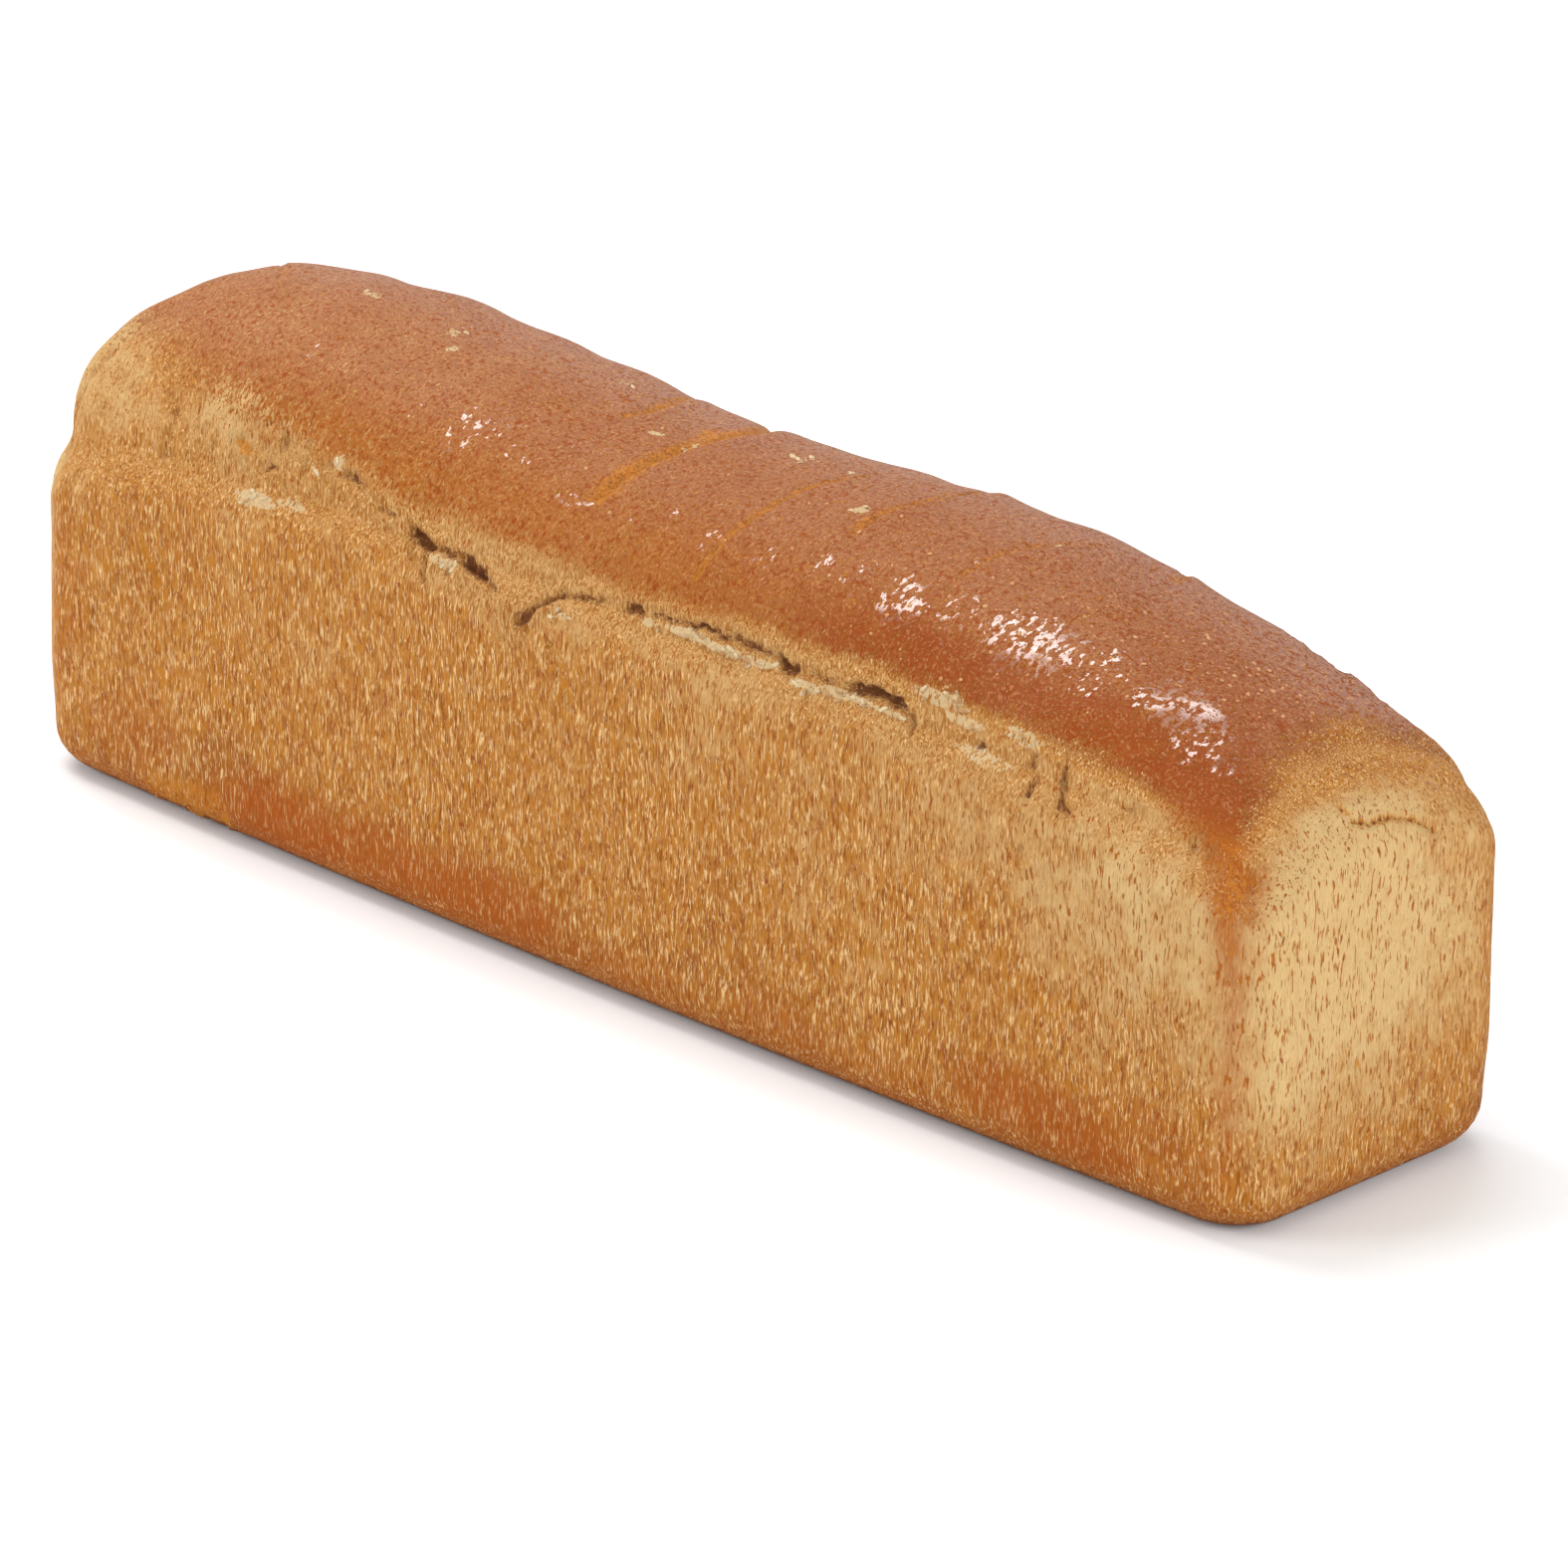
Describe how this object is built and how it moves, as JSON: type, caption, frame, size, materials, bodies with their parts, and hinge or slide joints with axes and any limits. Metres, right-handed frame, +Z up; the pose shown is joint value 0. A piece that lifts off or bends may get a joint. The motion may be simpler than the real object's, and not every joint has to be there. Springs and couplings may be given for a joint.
{
  "type": "tin loaf of bread",
  "caption": "Whole uncut tin loaf: long straight walls with a rounded foot, torn rim along one side, and a risen dome with folds across it.",
  "frame": {"origin": "centre of the flat bottom the loaf rests on", "axes": "+X along the length towards the end where the dome is lower, -Y towards the long side with the torn rim, +Z up"},
  "size_m": [0.4004, 0.097, 0.1302],
  "materials": {
    "baked_crust": "semi-gloss baked crust on the dome, matt on the walls"
  },
  "bodies": {
    "root": {"loaf": "baked_crust"}
  },
  "joints": []
}
